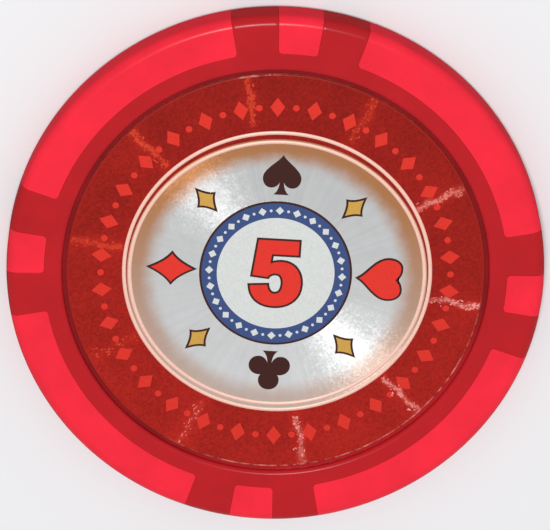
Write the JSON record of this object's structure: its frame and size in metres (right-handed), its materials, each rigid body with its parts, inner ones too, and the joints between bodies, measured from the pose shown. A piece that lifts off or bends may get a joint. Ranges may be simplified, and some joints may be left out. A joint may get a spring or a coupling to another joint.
{
  "type": "poker chip",
  "caption": "Round moulded poker chip with lighter edge spots keyed into its rim, a steel slug inside and a printed foil inlay sunk in each face.",
  "frame": {"origin": "centre of the rear face, which the chip lies on", "axes": "+Z along the chip's axis, out of the front face; +Y towards the short edge spot above the top of the front inlay"},
  "size_m": [0.04, 0.04, 0.0033],
  "materials": {
    "body_plastic": "dark red moulded plastic, satin",
    "spot_plastic": "light red moulded plastic, satin",
    "inlay_foil": "printed metallised film, glossy, red ring and silver middle",
    "inlay_adhesive": "clear bonding layer",
    "slug_steel": "bare stamped steel"
  },
  "bodies": {
    "root": {"chip_body": "body_plastic", "steel_slug": "slug_steel", "front_inlay": "inlay_foil", "rear_inlay": "inlay_foil", "front_adhesive": "inlay_adhesive", "rear_adhesive": "inlay_adhesive", "short_spot_1": "spot_plastic", "short_spot_2": "spot_plastic", "short_spot_3": "spot_plastic", "short_spot_4": "spot_plastic", "long_spot_1": "spot_plastic", "long_spot_2": "spot_plastic", "long_spot_3": "spot_plastic", "long_spot_4": "spot_plastic"}
  },
  "joints": []
}
